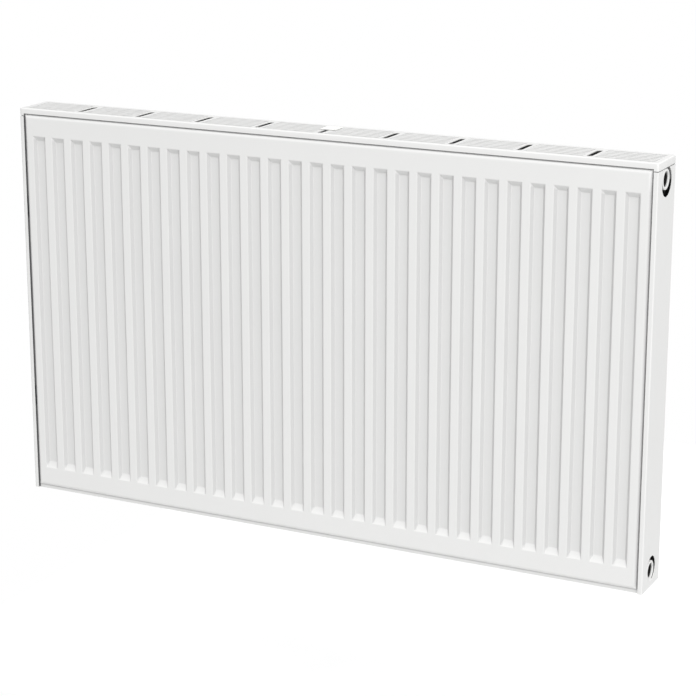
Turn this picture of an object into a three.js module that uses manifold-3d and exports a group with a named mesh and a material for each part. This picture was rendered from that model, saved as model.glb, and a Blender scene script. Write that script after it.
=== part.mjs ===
// Steel compact panel radiator: two pressed water panels, one convector sheet, corner connections,
// a clip-on top grille and two clip-on side panels. Millimetres, +Z up, the front faces -Y.
// The origin is the middle of the bounding box's base.
import * as THREE from 'three';
import { mergeVertices } from 'three/addons/utils/BufferGeometryUtils.js';
import Module from 'manifold-3d';

const wasm = await Module();
wasm.setup();

// Driving dimensions
const LENGTH = 1000;
const HEIGHT = 600;
const BODY_DEPTH = 73.5;
const LUG_STANDOFF = 12;
const GAP = 0.3;

// Pressed water panels
const SKIN_SHEET = 1.2;
const PRESS_DEPTH = 5;
const CHANNEL_PITCH = 100 / 3;
const RECESS_COUNT = 29;
const RECESS_HALF_WIDTH = 10.6;
const RECESS_FLOOR_HALF_WIDTH = 6.5;
const RECESS_BOTTOM = 36.2;
const RECESS_TOP = 559;
const RECESS_FOOT_RUN = 9.4;
const RECESS_HEAD_RUN = 7;
const END_RECESS_MARGIN = 50;
const FACE_HALF_LENGTH = 487.1;
const SHOULDER = 5;
const FACE_BOTTOM = 11;
const FACE_TOP = 585.6;
const FLANGE_HALF_LENGTH = 497.5;
const FLANGE_TOP = HEIGHT - 1.3;

// Connections: half-inch sockets on tees at the four corners
const LOWER_CONNECTION_Z = 23.5;
const UPPER_CONNECTION_Z = 573;
const TEE_X = 472;
const TEE_RADIUS = 16;
const TEE_BORE_RADIUS = 10;
const SOCKET_RADIUS = 14.5;
const SOCKET_BORE_RADIUS = 9.3;
const SOCKET_END_X = 499.2;
const SOCKET_ROOT_X = 476;
const ROUND_SEGMENTS = 24;

// Convector sheet
const CONVECTOR_SHEET = 0.6;
const CONVECTOR_DEPTH = 32;
const CONVECTOR_BOTTOM = 62;
const CONVECTOR_TOP = 538;
const CONVECTOR_FINS = 26;
const FIN_FOOT_HALF = 7;
const FIN_CREST_HALF = 5;

// Cover panels
const COVER_SHEET = 1;
const LIP_SETBACK = 1;
const SIDE_LIP_WIDTH = 6.5;
const TOP_LIP_WIDTH = 8;
const SKIRT_HEIGHT = 11;
const COVER_SEAM = 1.1;
const UPPER_HOLE = { y: -4.75, z: 569.5, radius: 20.3 };
const LOWER_HOLE = { y: -5.25, z: 26.6, radius: 17.7 };

// Top grille
const CROSS_SLOT_COUNT = 9;
const CROSS_SLOT_PITCH = 100;
const CROSS_SLOT_WIDTH = 8;
const CROSS_SLOT_FRONT = 9;
const CROSS_SLOT_BACK = 56.5;
const ROW_COUNT = 6;
const ROW_PITCH = 9.7;
const ROW_FRONT = 10.8;
const ROW_SLOT_WIDTH = 4;
const ROW_SLOT_LENGTH = 84;

// Small parts
const CLIP_STEM_WIDTH = 4.2;
const CLIP_STEM_FRONT = 36;
const CLIP_STEM_BACK = 52;
const CLIP_CAP = { left: -10, right: 14, overhang: 4, height: 2 };
const CLIP_REACH = 12;
const CLIP_PLAY = 2;
const BRIDGE_X = [-250, 0, 250];
const BRIDGE_WIDTH = 24;
const BRIDGE_SHEET = 1.5;
const BRIDGE_TOP = 597;
const BRIDGE_BOTTOM = 571;
const BRIDGE_HOLE_WIDTH = 8;
const SPRING_CLIP_Z = [150, 450];
const SPRING_CLIP_HEIGHT = 30;
const SPRING_SHEET = 0.6;
const LUG_X = 383;
const LUG_Z = [84, 516];
const LUG_WIDTH = 36;
const LUG_SHEET = 2.5;
const LUG_FOOT = 12;
const LUG_HEIGHT = 64;

// Planes worked out from the driving dimensions
const FRONT_Y = -(BODY_DEPTH + LUG_STANDOFF) / 2;
const BACK_Y = FRONT_Y + BODY_DEPTH;
const MIDDLE_Y = (FRONT_Y + BACK_Y) / 2;
const LIP_FRONT_Y = FRONT_Y + LIP_SETBACK;
const LIP_BACK_Y = BACK_Y - LIP_SETBACK;
const SKIN_DEPTH = PRESS_DEPTH + SKIN_SHEET;
const PANEL_DEPTH = 2 * SKIN_DEPTH + GAP;
const INNER_FRONT_Y = FRONT_Y + PANEL_DEPTH;
const INNER_BACK_Y = BACK_Y - PANEL_DEPTH;
const HALF_LENGTH = LENGTH / 2;
const SIDE_PANEL_TOP = HEIGHT - SKIRT_HEIGHT - COVER_SEAM;
const OVERCUT = 5;

const WHITE_ENAMEL = { color: 0xf2f2f1, roughness: 0.35, metalness: 0 };
const GALVANISED = { color: 0xb9bcbe, roughness: 0.45, metalness: 0.8 };
const WHITE_PLASTIC = { color: 0xf6f6f4, roughness: 0.45, metalness: 0 };

const group = new THREE.Group();

function asSolid(geometry) {
  const bare = geometry.index ? geometry.toNonIndexed() : geometry.clone();
  bare.deleteAttribute('normal');
  bare.deleteAttribute('uv');
  const merged = mergeVertices(bare, 1e-4);
  return new wasm.Manifold(new wasm.Mesh({
    numProp: 3,
    vertProperties: new Float32Array(merged.attributes.position.array),
    triVerts: new Uint32Array(merged.index.array),
  }));
}

function asGeometry(solid) {
  const mesh = solid.getMesh();
  const geometry = new THREE.BufferGeometry();
  geometry.setAttribute('position', new THREE.BufferAttribute(mesh.vertProperties, 3));
  geometry.setIndex(new THREE.BufferAttribute(mesh.triVerts, 1));
  geometry.computeVertexNormals();
  return geometry;
}

function addPart(name, solid, finish, placement = {}) {
  const mesh = new THREE.Mesh(asGeometry(solid), new THREE.MeshStandardMaterial(finish));
  mesh.name = name;
  mesh.rotation.z = placement.turn ?? 0;
  mesh.position.set(placement.x ?? 0, placement.y ?? 0, placement.z ?? 0);
  group.add(mesh);
}

// A block between two corners
function block(low, high) {
  const size = high.map((value, axis) => value - low[axis]);
  const geometry = new THREE.BoxGeometry(...size);
  geometry.translate(...high.map((value, axis) => (value + low[axis]) / 2));
  return asSolid(geometry);
}

// A block whose front and back faces differ: each face is [x half length, bottom, top] at its own y
function taperedBlock(frontY, front, backY, back) {
  const geometry = new THREE.BoxGeometry(2, 2, 2);
  const corners = geometry.attributes.position;
  for (let i = 0; i < corners.count; i += 1) {
    const isFront = corners.getY(i) < 0;
    const [halfLength, bottom, top] = isFront ? front : back;
    const x = corners.getX(i) * halfLength;
    const z = corners.getZ(i) < 0 ? bottom : top;
    corners.setXYZ(i, x, isFront ? frontY : backY, z);
  }
  return asSolid(geometry);
}

// A cylinder along X, Y or Z through a centre point
function rod(axis, centre, radius, length) {
  const geometry = new THREE.CylinderGeometry(radius, radius, length, ROUND_SEGMENTS);
  if (axis === 'x') {
    geometry.rotateZ(Math.PI / 2);
  } else if (axis === 'z') {
    geometry.rotateX(Math.PI / 2);
  }
  geometry.translate(...centre);
  return asSolid(geometry);
}

// One straight profile extruded along an axis: 'z' takes points (x, y), 'x' takes points (y, z)
function profileBar(points, axis, from, to) {
  const shape = new THREE.Shape(points.map(([u, v]) => new THREE.Vector2(u, v)));
  const geometry = new THREE.ExtrudeGeometry(shape, { depth: to - from, bevelEnabled: false });
  geometry.translate(0, 0, from);
  if (axis === 'x') {
    geometry.rotateX(Math.PI / 2);
    geometry.rotateZ(Math.PI / 2);
  }
  return asSolid(geometry);
}

// Pressed skins. Each is built facing -Y with its face on y = 0 and its weld flange at the back.
function recess(index, bottom, top, grow) {
  const x = (index - (RECESS_COUNT - 1) / 2) * CHANNEL_PITCH;
  const slope = (RECESS_HALF_WIDTH - RECESS_FLOOR_HALF_WIDTH) / PRESS_DEPTH;
  const footSlope = RECESS_FOOT_RUN / PRESS_DEPTH;
  const headSlope = RECESS_HEAD_RUN / PRESS_DEPTH;
  const section = (y) => [
    RECESS_HALF_WIDTH - slope * y + grow,
    bottom + footSlope * y - grow,
    top - headSlope * y + grow,
  ];
  const floorY = PRESS_DEPTH + grow;
  const mouth = taperedBlock(-1, section(-1), floorY, section(PRESS_DEPTH));
  return mouth.translate([x, 0, 0]);
}

function allRecesses(endMargin, grow) {
  const cuts = [];
  for (let index = 0; index < RECESS_COUNT; index += 1) {
    const isEnd = index === 0 || index === RECESS_COUNT - 1;
    const bottom = isEnd ? Math.max(RECESS_BOTTOM, endMargin) : RECESS_BOTTOM;
    const top = isEnd ? Math.min(RECESS_TOP, HEIGHT - endMargin) : RECESS_TOP;
    cuts.push(recess(index, bottom, top, grow));
  }
  return wasm.Manifold.union(cuts);
}

function pressedSkin(endMargin) {
  const face = [FACE_HALF_LENGTH, FACE_BOTTOM, FACE_TOP];
  const foot = [FACE_HALF_LENGTH + SHOULDER, FACE_BOTTOM - SHOULDER, FACE_TOP + SHOULDER];
  const flange = block([-FLANGE_HALF_LENGTH, PRESS_DEPTH, 0], [FLANGE_HALF_LENGTH, SKIN_DEPTH, FLANGE_TOP]);
  const shell = taperedBlock(0, face, PRESS_DEPTH + 0.5, foot)
    .add(flange)
    .subtract(allRecesses(endMargin, 0));
  const shrink = ([halfLength, bottom, top]) => [
    halfLength - SKIN_SHEET,
    bottom + SKIN_SHEET,
    top - SKIN_SHEET,
  ];
  const water = taperedBlock(SKIN_SHEET, shrink(face), SKIN_DEPTH + OVERCUT, shrink(foot))
    .subtract(allRecesses(endMargin, SKIN_SHEET));
  return shell.subtract(water);
}

function connectionPorts() {
  const ports = [];
  for (const side of [-1, 1]) {
    for (const z of [LOWER_CONNECTION_Z, UPPER_CONNECTION_Z]) {
      ports.push(rod('y', [side * TEE_X, SKIN_DEPTH / 2, z], TEE_BORE_RADIUS, SKIN_DEPTH + OVERCUT));
    }
  }
  return wasm.Manifold.union(ports);
}

function addWaterPanels() {
  const outerSkin = pressedSkin(0);
  const innerSkin = pressedSkin(END_RECESS_MARGIN).subtract(connectionPorts());
  const turned = Math.PI;
  addPart('front_panel_outer_skin', outerSkin, WHITE_ENAMEL, { y: FRONT_Y });
  addPart('front_panel_inner_skin', innerSkin, WHITE_ENAMEL, { y: INNER_FRONT_Y, turn: turned });
  addPart('rear_panel_inner_skin', innerSkin, WHITE_ENAMEL, { y: INNER_BACK_Y });
  addPart('rear_panel_outer_skin', outerSkin, WHITE_ENAMEL, { y: BACK_Y, turn: turned });
}

// Connection tees and sockets
function addConnections() {
  const corners = [['left', -1], ['right', 1]];
  const levels = [['lower', LOWER_CONNECTION_Z], ['upper', UPPER_CONNECTION_Z]];
  const teeLength = INNER_BACK_Y - INNER_FRONT_Y - 2 * GAP;
  for (const [sideName, side] of corners) {
    for (const [levelName, z] of levels) {
      const centre = [side * TEE_X, MIDDLE_Y, z];
      const branch = [side * (TEE_X + TEE_RADIUS), MIDDLE_Y, z];
      const tee = rod('y', centre, TEE_RADIUS, teeLength)
        .subtract(rod('y', centre, TEE_BORE_RADIUS, teeLength + OVERCUT))
        .subtract(rod('x', branch, SOCKET_BORE_RADIUS, 2 * TEE_RADIUS));
      const socketLength = SOCKET_END_X - SOCKET_ROOT_X;
      const socketCentre = [side * (SOCKET_ROOT_X + socketLength / 2), MIDDLE_Y, z];
      const socket = rod('x', socketCentre, SOCKET_RADIUS, socketLength)
        .subtract(rod('x', socketCentre, SOCKET_BORE_RADIUS, socketLength + OVERCUT))
        .subtract(rod('y', centre, TEE_RADIUS + GAP, teeLength + OVERCUT));
      addPart(`${levelName}_${sideName}_tee`, tee, WHITE_ENAMEL);
      addPart(`${levelName}_${sideName}_socket`, socket, WHITE_ENAMEL);
    }
  }
}

// Convector: one folded sheet whose feet are welded to the rear panel's inner face
function addConvector() {
  const footY = INNER_BACK_Y - GAP;
  const crestY = footY - CONVECTOR_DEPTH;
  const outer = [];
  const inner = [];
  for (let fin = 0; fin < CONVECTOR_FINS; fin += 1) {
    const x = (fin - (CONVECTOR_FINS - 1) / 2) * CHANNEL_PITCH;
    const rise = CHANNEL_PITCH / 2;
    outer.push([x - FIN_FOOT_HALF, footY], [x + FIN_FOOT_HALF, footY]);
    inner.push([x - FIN_FOOT_HALF + CONVECTOR_SHEET, footY - CONVECTOR_SHEET]);
    inner.push([x + FIN_FOOT_HALF - CONVECTOR_SHEET, footY - CONVECTOR_SHEET]);
    if (fin < CONVECTOR_FINS - 1) {
      outer.push([x + rise - FIN_CREST_HALF + CONVECTOR_SHEET, crestY + CONVECTOR_SHEET]);
      outer.push([x + rise + FIN_CREST_HALF - CONVECTOR_SHEET, crestY + CONVECTOR_SHEET]);
      inner.push([x + rise - FIN_CREST_HALF, crestY], [x + rise + FIN_CREST_HALF, crestY]);
    }
  }
  const sheet = profileBar([...outer, ...inner.reverse()], 'z', CONVECTOR_BOTTOM, CONVECTOR_TOP);
  addPart('convector', sheet, WHITE_ENAMEL);
}

// Side panels: a plate with a folded lip along its front and back edges
function sidePanel(side) {
  const ends = (near, far) => (side > 0 ? [near, far] : [-far, -near]);
  const [plateLow, plateHigh] = ends(HALF_LENGTH - SIDE_LIP_WIDTH, HALF_LENGTH);
  const [roomLow, roomHigh] = ends(HALF_LENGTH - SIDE_LIP_WIDTH - OVERCUT, HALF_LENGTH - COVER_SHEET);
  const holes = [UPPER_HOLE, LOWER_HOLE].map((hole) => (
    rod('x', [side * HALF_LENGTH, hole.y, hole.z], hole.radius, 2 * SIDE_LIP_WIDTH)
  ));
  const cover = block([plateLow, LIP_FRONT_Y, 0], [plateHigh, LIP_BACK_Y, SIDE_PANEL_TOP]);
  const room = block(
    [roomLow, LIP_FRONT_Y + COVER_SHEET, -OVERCUT],
    [roomHigh, LIP_BACK_Y - COVER_SHEET, HEIGHT],
  );
  return cover.subtract(room).subtract(wasm.Manifold.union(holes));
}

// A spring clip grips the front panel's weld flange from inside the side panel
function springClip(side) {
  const flangeFront = FRONT_Y + PRESS_DEPTH;
  const flangeBack = flangeFront + 2 * SKIN_SHEET + GAP;
  const web = HALF_LENGTH - COVER_SHEET - GAP;
  const tip = FACE_HALF_LENGTH + SHOULDER + 1;
  const points = [
    [tip, flangeFront - GAP - SPRING_SHEET],
    [web, flangeFront - GAP - SPRING_SHEET],
    [web, flangeBack + GAP + SPRING_SHEET],
    [tip, flangeBack + GAP + SPRING_SHEET],
    [tip, flangeBack + GAP],
    [web - SPRING_SHEET, flangeBack + GAP],
    [web - SPRING_SHEET, flangeFront - GAP],
    [tip, flangeFront - GAP],
  ];
  const placed = points.map(([x, y]) => [side * x, y]);
  const outline = side > 0 ? placed : placed.reverse();
  return profileBar(outline, 'z', -SPRING_CLIP_HEIGHT / 2, SPRING_CLIP_HEIGHT / 2);
}

function addSides() {
  for (const [sideName, side] of [['left', -1], ['right', 1]]) {
    addPart(`${sideName}_side_panel`, sidePanel(side), WHITE_ENAMEL);
    SPRING_CLIP_Z.forEach((z, index) => {
      const levelName = ['lower', 'upper'][index];
      addPart(`${levelName}_${sideName}_spring_clip`, springClip(side), GALVANISED, { z });
    });
  }
}

// Top grille: a shallow tray upside down, with cross slots and rows of long slots
function addGrille() {
  const tray = block([-HALF_LENGTH, LIP_FRONT_Y, HEIGHT - SKIRT_HEIGHT], [HALF_LENGTH, LIP_BACK_Y, HEIGHT]);
  const room = block(
    [-HALF_LENGTH + COVER_SHEET, LIP_FRONT_Y + COVER_SHEET, 0],
    [HALF_LENGTH - COVER_SHEET, LIP_BACK_Y - COVER_SHEET, HEIGHT - COVER_SHEET],
  );
  const lipRelief = block(
    [-HALF_LENGTH + SIDE_LIP_WIDTH, LIP_FRONT_Y - OVERCUT, 0],
    [HALF_LENGTH - SIDE_LIP_WIDTH, LIP_BACK_Y + OVERCUT, HEIGHT - TOP_LIP_WIDTH],
  );
  addPart('top_grille', tray.subtract(room).subtract(lipRelief).subtract(grilleSlots()), WHITE_ENAMEL);
}

function grilleSlots() {
  const low = HEIGHT - 2 * COVER_SHEET;
  const high = HEIGHT + OVERCUT;
  const cuts = [];
  for (let index = 0; index < CROSS_SLOT_COUNT; index += 1) {
    const x = (index - (CROSS_SLOT_COUNT - 1) / 2) * CROSS_SLOT_PITCH;
    cuts.push(block(
      [x - CROSS_SLOT_WIDTH / 2, LIP_FRONT_Y + CROSS_SLOT_FRONT, low],
      [x + CROSS_SLOT_WIDTH / 2, LIP_FRONT_Y + CROSS_SLOT_BACK, high],
    ));
  }
  for (let segment = 0; segment <= CROSS_SLOT_COUNT; segment += 1) {
    const x = (segment - CROSS_SLOT_COUNT / 2) * CROSS_SLOT_PITCH;
    const half = ROW_SLOT_LENGTH / 2;
    for (let row = 0; row < ROW_COUNT; row += 1) {
      const y = LIP_FRONT_Y + ROW_FRONT + row * ROW_PITCH;
      cuts.push(block([x - half, y - ROW_SLOT_WIDTH / 2, low], [x + half, y + ROW_SLOT_WIDTH / 2, high]));
    }
  }
  return wasm.Manifold.union(cuts);
}

// The grille clip's stem goes through the middle cross slot into the middle bridge
function addGrilleClip() {
  const stemFront = LIP_FRONT_Y + CLIP_STEM_FRONT;
  const stemBack = LIP_FRONT_Y + CLIP_STEM_BACK;
  const half = CLIP_STEM_WIDTH / 2;
  const stem = block([-half, stemFront, HEIGHT - CLIP_REACH], [half, stemBack, HEIGHT + COVER_SHEET]);
  const cap = block(
    [CLIP_CAP.left, stemFront - CLIP_CAP.overhang, HEIGHT + GAP],
    [CLIP_CAP.right, stemBack + CLIP_CAP.overhang, HEIGHT + CLIP_CAP.height],
  );
  addPart('grille_clip', stem.add(cap), WHITE_PLASTIC);
}

// Bridges hold the two panels apart and carry the grille
function addBridges() {
  const front = INNER_FRONT_Y + GAP;
  const back = INNER_BACK_Y - GAP;
  const points = [
    [front, BRIDGE_BOTTOM],
    [front + BRIDGE_SHEET, BRIDGE_BOTTOM],
    [front + BRIDGE_SHEET, BRIDGE_TOP - BRIDGE_SHEET],
    [back - BRIDGE_SHEET, BRIDGE_TOP - BRIDGE_SHEET],
    [back - BRIDGE_SHEET, BRIDGE_BOTTOM],
    [back, BRIDGE_BOTTOM],
    [back, BRIDGE_TOP],
    [front, BRIDGE_TOP],
  ];
  const hole = block(
    [-BRIDGE_HOLE_WIDTH / 2, LIP_FRONT_Y + CLIP_STEM_FRONT - CLIP_PLAY, BRIDGE_TOP - OVERCUT],
    [BRIDGE_HOLE_WIDTH / 2, LIP_FRONT_Y + CLIP_STEM_BACK + CLIP_PLAY, HEIGHT],
  );
  const bridge = profileBar(points, 'x', -BRIDGE_WIDTH / 2, BRIDGE_WIDTH / 2);
  BRIDGE_X.forEach((x, index) => {
    const name = `${['left', 'middle', 'right'][index]}_bridge`;
    addPart(name, bridge.subtract(hole), GALVANISED, { x });
  });
}

// Hanging lugs: pressed straps welded to the back, which drop over the wall brackets' hooks
function addLugs() {
  const seat = BACK_Y + GAP;
  const wall = BACK_Y + LUG_STANDOFF;
  const half = LUG_HEIGHT / 2;
  const legs = half - LUG_FOOT;
  const points = [
    [seat, -half],
    [seat + LUG_SHEET, -half],
    [seat + LUG_SHEET, -legs],
    [wall, -legs],
    [wall, legs],
    [seat + LUG_SHEET, legs],
    [seat + LUG_SHEET, half],
    [seat, half],
    [seat, legs - LUG_SHEET],
    [wall - LUG_SHEET, legs - LUG_SHEET],
    [wall - LUG_SHEET, -legs + LUG_SHEET],
    [seat, -legs + LUG_SHEET],
  ];
  const strap = profileBar(points, 'x', -LUG_WIDTH / 2, LUG_WIDTH / 2);
  for (const [sideName, side] of [['left', -1], ['right', 1]]) {
    LUG_Z.forEach((z, index) => {
      const levelName = ['lower', 'upper'][index];
      addPart(`${levelName}_${sideName}_hanging_lug`, strap, WHITE_ENAMEL, { x: side * LUG_X, z });
    });
  }
}

addWaterPanels();
addConnections();
addConvector();
addSides();
addGrille();
addGrilleClip();
addBridges();
addLugs();

export default group;
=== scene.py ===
"""The looks of a white steel compact panel radiator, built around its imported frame.

Lengths here are millimetres until a mesh is made, which turns them to metres. The front faces -Y.
"""

import math

import bmesh
import bpy
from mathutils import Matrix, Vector


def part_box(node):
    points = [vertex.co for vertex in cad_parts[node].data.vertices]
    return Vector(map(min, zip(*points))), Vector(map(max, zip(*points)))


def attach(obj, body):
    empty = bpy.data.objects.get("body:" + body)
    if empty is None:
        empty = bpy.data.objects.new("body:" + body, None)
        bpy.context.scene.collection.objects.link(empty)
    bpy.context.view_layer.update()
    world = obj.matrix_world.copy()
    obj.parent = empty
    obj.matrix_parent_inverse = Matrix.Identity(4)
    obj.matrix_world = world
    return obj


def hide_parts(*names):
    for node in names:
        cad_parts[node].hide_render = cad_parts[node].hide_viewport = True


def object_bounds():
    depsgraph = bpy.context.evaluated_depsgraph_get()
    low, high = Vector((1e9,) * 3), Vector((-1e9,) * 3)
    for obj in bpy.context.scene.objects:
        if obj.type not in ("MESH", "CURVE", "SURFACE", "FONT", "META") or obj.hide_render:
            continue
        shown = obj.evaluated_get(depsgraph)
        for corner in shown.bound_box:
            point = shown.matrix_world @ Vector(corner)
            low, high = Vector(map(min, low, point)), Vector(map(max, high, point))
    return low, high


MM = 0.001
HALF_TURN = math.pi

# Pressed water panels
SKIN_SHEET = 1.2
PRESS_DEPTH = 5
CHANNEL_PITCH = 100 / 3
RECESS_COUNT = 29
RECESS_HALF_WIDTH = 10.6
RECESS_WALL_RUN = 4.1
RECESS_FOOT_RUN = 9.4
RECESS_HEAD_RUN = 7
RECESS_BOTTOM = 36.2
RECESS_TOP = 559
INNER_END_RECESS_BOTTOM = 50
INNER_END_RECESS_TOP = 550
MOUTH_RADIUS = 1.8
FLOOR_RADIUS = 1.5
SHOULDER_RUN = 1
SHOULDER_RADIUS = 5
SHOULDER_FOOT_RADIUS = 0.8
SHOULDER_FOOT_GAP = 5.4
BOTTOM_FOOT = 6
TOP_FOOT = 590.6
STRIP_LINE = 3.6
FLOOR_LINES = (-4, -2, 0, 2, 4)
OUTER_BEND_STEPS = 4
INNER_BEND_STEPS = 2
WELD_DISTANCE = 0.02
SUPPORT = 0.5

# Each kind of pressed wall: its run, its depth, and the radii at its mouth and at its floor
SIDE_WALL = (RECESS_WALL_RUN, PRESS_DEPTH, MOUTH_RADIUS, FLOOR_RADIUS)
FOOT_WALL = (RECESS_FOOT_RUN, PRESS_DEPTH, MOUTH_RADIUS, FLOOR_RADIUS)
HEAD_WALL = (RECESS_HEAD_RUN, PRESS_DEPTH, MOUTH_RADIUS, FLOOR_RADIUS)
SHOULDER_WALL = (SHOULDER_RUN, PRESS_DEPTH, SHOULDER_RADIUS, SHOULDER_FOOT_RADIUS)

# Painted shade, as each point's share of a darker colour: on the recesses' floors and steep side
# walls, at the shoulders' feet, on the open strip below them and on the flange behind the covers
FLOOR_PAINTED_SHADE = 0.11
WALL_PAINTED_SHADE = 0.34
WALL_PAINTED_SHADE_REACH = 1.25
BEND_PAINTED_SHADE_RISE = 8
FOOT_PAINTED_SHADE = 0.45
FOOT_PAINTED_SHADE_NARROWNESS = 4
STRIP_PAINTED_SHADE = 0.05
FLANGE_PAINTED_SHADE = 0.9
PAINTED_SHADE_MARGIN = 0.3

# Connections
TEE_RADIUS = 16
TEE_BORE_RADIUS = 10
TEE_CHAMFER = 0.6
TEE_CLEARANCE = 0.3
SOCKET_RADIUS = 14.5
SOCKET_ROOT = 0.55 * TEE_RADIUS
SOCKET_CHAMFER = 1
SOCKET_CHAMFER_EASE = 0.3
THREAD_MINOR_RADIUS = 9.3
THREAD_DEPTH = 1.1
THREAD_PITCH = 25.4 / 14
THREAD_FULLNESS = 0.8
STEPS_PER_THREAD = 8
LEAD_IN_RADIUS = 10.5
LEAD_IN_DEPTH = 2.6
LEAD_IN_FLARE = 0.8
LEAD_IN_SHOULDER = 0.3

# Covers
COVER_SHEET = 1
FOLD_RADIUS = 1.6
FOLD_STEPS = 6
TOP_LIP_WIDTH = 8
SIDE_LIP_WIDTH = 6.5
UPPER_HOLE = (-4.75, 569.5, 20.3)
LOWER_HOLE = (-5.25, 26.6, 17.7)

# Top grille
CROSS_SLOTS = {"count": 9, "pitch": 100, "width": 8, "front": 9, "back": 56.5}
ROW_SLOTS = {"rows": 6, "row_pitch": 9.7, "front": 10.8, "width": 3.6, "length": 84}
GRILLE_CORNER_RADIUS = 2.5
SMALLEST_CORNER_RADIUS = 0.3
GRILLE_CORNER_STEPS = 6
GRILLE_FOLD_STEPS = 5
LIP_END_STEP = 0.02
SLOT_END_STEPS = 8

# Grille clip
CAP_CLEARANCE = 0.3
STEM_HALF_WIDTH = 2.1
STEM_LAP = 0.4
CLIP_OVERHANG = 4
SLIT = {"from_edge": 4, "width": 2, "end_margin": 6, "depth": 1}

# Hidden sheet parts
CONVECTOR_SHEET = 0.6
CONVECTOR_FINS = 26
FIN_FOOT_HALF = 7
FIN_CREST_HALF = 5
FIN_FOLD = 1.4
BRIDGE_SHEET = 1.5
BRIDGE_FOLD = 2
BRIDGE_HOLE_HALF = 4
CLIP_PLAY = 2
SPRING_SHEET = 0.6
SPRING_FOLD = 0.8
LUG_SHEET = 2.5
LUG_FOLD = 2
LUG_FOOT = 12

# How round each piece's cut edges are
EDGE_ROUNDING = {"cover": 0.25, "grille": 0.2, "spring": 0.12, "bridge": 0.3, "lug": 0.5,
                 "cap": 0.5, "stem": 0.4}

# A face looks a given way when its normal's share of that way is at least this; a margin tells
# a face on a surface from one behind it
LOOKS_THAT_WAY = 0.7
FACE_MARGIN = 0.2

# Camera: seen from the room, to the right of the radiator and above it
CAMERA_LENS = 109.85
CAMERA_PLACE = (1353.6, -2647.05, 1113.3)
CAMERA_AZIMUTH = 26.585
CAMERA_DIP = 15.681

# Studio: the radiator hangs above the floor. The light tent is brightest towards TENT_AIM, and a
# dark flag dims it at the far left
FLOOR_DROP = 300
FLOOR_SHEET = {"left": -700, "right": 640, "front": -160, "back": 1500}
TENT_AIM = (0.34, -0.234, 0.911)
TENT_MEAN = 0.827
TENT_SLOPE = 0.719
FLAG_DEPTH = 0.75
FLAG_NARROWNESS = 4
LAMP_PLACE = (1600, -2400, 800)
LAMP_SIZE = (1100, 1100)
LAMP_POWER = 13.6


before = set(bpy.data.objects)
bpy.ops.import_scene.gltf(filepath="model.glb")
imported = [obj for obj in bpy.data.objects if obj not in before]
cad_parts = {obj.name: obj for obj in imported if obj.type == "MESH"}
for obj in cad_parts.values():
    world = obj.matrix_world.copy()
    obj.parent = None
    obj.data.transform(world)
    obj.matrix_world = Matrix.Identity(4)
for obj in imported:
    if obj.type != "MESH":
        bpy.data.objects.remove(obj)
cad_low, cad_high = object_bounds()
scene = bpy.context.scene


# ---------------------------------------------------------------- small tools


def node_box(name):
    """A CAD node's lowest and highest corners in millimetres."""
    low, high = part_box(name)
    return low / MM, high / MM


def linear(code):
    """An sRGB hex colour as linear red, green, blue and alpha."""
    channels = [int(code[i:i + 2], 16) / 255 for i in (1, 3, 5)]
    return [c / 12.92 if c <= 0.04045 else ((c + 0.055) / 1.055) ** 2.4 for c in channels] + [1]


def add(tree, kind, settings=None, inputs=None):
    """Adds a node. Settings are its properties; inputs are values or sockets, by name or number."""
    node = tree.nodes.new(kind)
    for name, value in (settings or {}).items():
        setattr(node, name, value)
    for name, value in (inputs or {}).items():
        if isinstance(value, bpy.types.NodeSocket):
            tree.links.new(value, node.inputs[name])
        else:
            node.inputs[name].default_value = value
    return node


def mesh_from(name, points, faces):
    """A mesh from millimetre points."""
    mesh = bpy.data.meshes.new(name)
    mesh.from_pydata([Vector(p) * MM for p in points], [], faces)
    mesh.update()
    return mesh


def new_object(name, mesh):
    """An object in the scene that shows a mesh."""
    made = bpy.data.objects.new(name, mesh)
    scene.collection.objects.link(made)
    return made


def settle(obj, *spent):
    """Makes the modifiers' result obj's plain mesh, and removes the objects that they used."""
    bpy.context.view_layer.update()
    graph = bpy.context.evaluated_depsgraph_get()
    plain = bpy.data.meshes.new_from_object(obj.evaluated_get(graph))
    plain.name = obj.name
    obj.modifiers.clear()
    obj.data = plain
    for tool in spent:
        bpy.data.objects.remove(tool)
    return obj


def smooth(obj, crease=32):
    """Smooth shading, with edges sharper than crease degrees left hard."""
    for polygon in obj.data.polygons:
        polygon.use_smooth = True
    obj.data.set_sharp_from_angle(angle=math.radians(crease))
    return obj


def outward(obj):
    """Merges doubles and turns every face outwards."""
    work = bmesh.new()
    work.from_mesh(obj.data)
    bmesh.ops.remove_doubles(work, verts=work.verts, dist=0.002 * MM)
    bmesh.ops.recalc_face_normals(work, faces=work.faces)
    work.to_mesh(obj.data)
    work.free()
    return obj


def thicken(obj, sheet, offset=0, inside=0):
    """Gives a sheet its thickness; inside picks the material slot of its inner face."""
    wall = obj.modifiers.new("sheet", "SOLIDIFY")
    wall.thickness = sheet * MM
    wall.offset = offset
    wall.use_even_offset = True
    wall.material_offset = inside
    return obj


def soften(obj, width, segments=2):
    """Rounds the cut edges."""
    edge = obj.modifiers.new("edges", "BEVEL")
    edge.width = width * MM
    edge.segments = segments
    edge.limit_method = "ANGLE"
    edge.angle_limit = math.radians(50)
    edge.harden_normals = True
    return obj


def cut(obj, *tools):
    """Cuts the tools' shapes out of obj."""
    for tool in tools:
        knife = obj.modifiers.new("cut", "BOOLEAN")
        knife.operation = "DIFFERENCE"
        knife.solver = "EXACT"
        knife.object = tool
    return settle(obj, *tools)


def recoat(obj, *materials):
    """Gives obj a new list of materials; every face takes the first."""
    obj.data.materials.clear()
    for material in materials:
        obj.data.materials.append(material)
    for polygon in obj.data.polygons:
        polygon.material_index = 0
    return obj


def place_piece(obj, body, slot, *nodes):
    """The piece rides on a body and stands for CAD nodes, which it hides; slot is not used."""
    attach(obj, body)
    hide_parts(*nodes)
    return obj


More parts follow.
